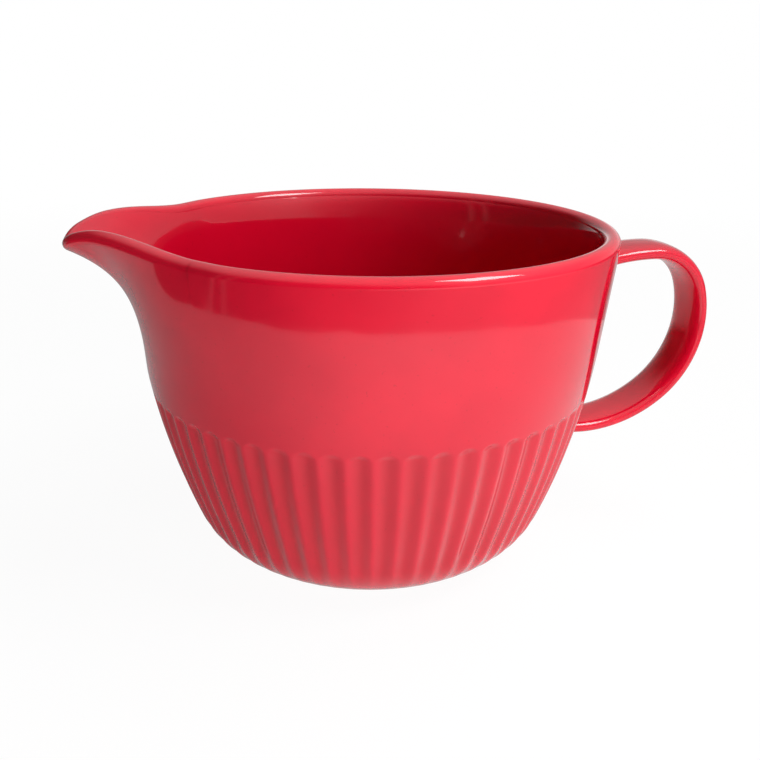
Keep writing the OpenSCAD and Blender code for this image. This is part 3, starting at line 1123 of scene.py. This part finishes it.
def room_material():
    """The room round the table, whose parts lie by direction and height on one surface."""
    n = new_material("dim_room")
    rise = n.add("SeparateXYZ", {0: n.vector("NORMALIZE", n.place())[0]}).outputs["Z"]
    above = n.stretch(rise, 0.0, WALLS_FOOT)
    base = n.between(above, room_floor_level(n), walls_level(n))
    base = n.math("ADD", base, window_level(n, rise, above))
    for turn in BAR_TURNS:
        bar = lobe(n, turn, BAR_POWER, 0.0, WINDOW_NEAR)
        base = n.math("ADD", base, n.math("MULTIPLY", bar, BAR_LEVEL))
    under_top = n.stretch(rise, BACKDROP_FROM, BACKDROP_TOP, 1.0, 0.0)
    base = n.math("ADD", base, n.math("MULTIPLY", backdrop_glow(n), under_top))
    ceiling = n.stretch(rise, CEILING_LOW, CEILING_HIGH)
    return n.finish(n.emission(strength=n.between(ceiling, base, CEILING_LEVEL)))


def stage_mesh(name, points, faces, material):
    """Mesh of the stage, which isn't part of the object."""
    mesh = bpy.data.meshes.new(name)
    mesh.from_pydata([tuple(p) for p in points], [], faces)
    mesh.materials.append(material)
    thing = bpy.data.objects.new(name, mesh)
    bpy.context.scene.collection.objects.link(thing)
    return thing


def only_in_reflections(thing):
    thing.visible_camera = False
    thing.visible_diffuse = False
    thing.visible_shadow = False
    thing.visible_transmission = False
    thing.visible_volume_scatter = False


def build_floor():
    corners = [(-1, -1), (1, -1), (1, 1), (-1, 1)]
    points = [(x * FLOOR_R, y * FLOOR_R, 0) for x, y in corners]
    stage_mesh("studio_floor", points, [(0, 1, 2, 3)], floor_material())


def build_room():
    """Floor round the table, and a dome over all of it."""
    turn = np.linspace(TABLE_EDGE_TURN[0], TABLE_EDGE_TURN[-1], ROOM_STEPS + 1)
    edge = np.interp(turn, TABLE_EDGE_TURN, TABLE_EDGE_R)
    inner = turned(edge, ROOM_FLOOR_H, turn)
    outer = turned(ROOM_R, ROOM_FLOOR_H, turn)
    row = ROOM_STEPS + 1
    faces = [(i, i + 1, row + i + 1, row + i) for i in range(ROOM_STEPS)]
    azimuth = np.arange(ROOM_STEPS) * 360 / ROOM_STEPS
    rises = np.linspace(0, DOME_TOP, DOME_RINGS)
    rings = [turned(ROOM_R * cosine(rise), ROOM_R * sine(rise), azimuth) for rise in rises]
    points = np.vstack([inner, outer, *rings])
    for ring in range(DOME_RINGS - 1):
        low = 2 * row + ring * ROOM_STEPS
        for i in range(ROOM_STEPS):
            after = (i + 1) % ROOM_STEPS
            faces.append((low + i, low + after, low + ROOM_STEPS + after, low + ROOM_STEPS + i))
    faces.append(tuple(range(len(points) - ROOM_STEPS, len(points))))
    only_in_reflections(stage_mesh("dim_room", points, faces, room_material()))


def build_lamp(name, azimuth, elevation, distance, size, power, mirrored):
    """A soft light at a direction and distance from the bowl's middle, facing it."""
    data = bpy.data.lights.new(name, "AREA")
    data.shape = "RECTANGLE"
    data.size = size[0]
    data.size_y = size[1]
    data.energy = power
    lamp = bpy.data.objects.new(name, data)
    level = distance * cosine(elevation)
    height = BOWL_MIDDLE + distance * sine(elevation)
    lamp.location = (level * cosine(azimuth), level * sine(azimuth), height)
    aim = Vector((0, 0, BOWL_MIDDLE)) - lamp.location
    lamp.rotation_mode = "QUATERNION"
    lamp.rotation_quaternion = aim.to_track_quat("-Z", "Y")
    lamp.visible_glossy = mirrored
    bpy.context.scene.collection.objects.link(lamp)


def build_world():
    """White to the camera, mirrors and glass, and a little grey light on the object."""
    world = bpy.data.worlds.new("studio")
    bpy.context.scene.world = world
    n = Nodes(world, "OutputWorld")
    fill = n.add("Background", {"Color": (*WORLD_FILL, 1)}).outputs[0]
    seen = n.add("Background", {"Color": (*WHITE, 1)}).outputs[0]
    n.finish(n.add("MixShader", {0: seen_directly(n), 1: fill, 2: seen}).outputs[0])


build_floor()
build_room()
for lamp_settings in LAMPS:
    build_lamp(*lamp_settings)
build_world()

# Camera at the photograph's place, with its right and up directions
CAMERA_PLACE = (-0.0750, -0.3301, 0.1892)
CAMERA_RIGHT = (0.97343, -0.22877, 0.01077)
CAMERA_UP = (0.06834, 0.33502, 0.93973)
CAMERA_LENS = 42.73
CAMERA_SENSOR = 36.0
CAMERA_CLIP = 0.01


def build_camera():
    data = bpy.data.cameras.new("camera")
    data.lens = CAMERA_LENS
    data.sensor_width = CAMERA_SENSOR
    data.clip_start = CAMERA_CLIP
    camera = bpy.data.objects.new("camera", data)
    right = Vector(CAMERA_RIGHT).normalized()
    up = Vector(CAMERA_UP).normalized()
    back = right.cross(up)
    turn = Matrix((right, up, back)).transposed().to_4x4()
    camera.matrix_world = Matrix.Translation(CAMERA_PLACE) @ turn
    bpy.context.scene.collection.objects.link(camera)
    bpy.context.scene.camera = camera


build_camera()
bpy.context.scene.view_settings.view_transform = "Standard"
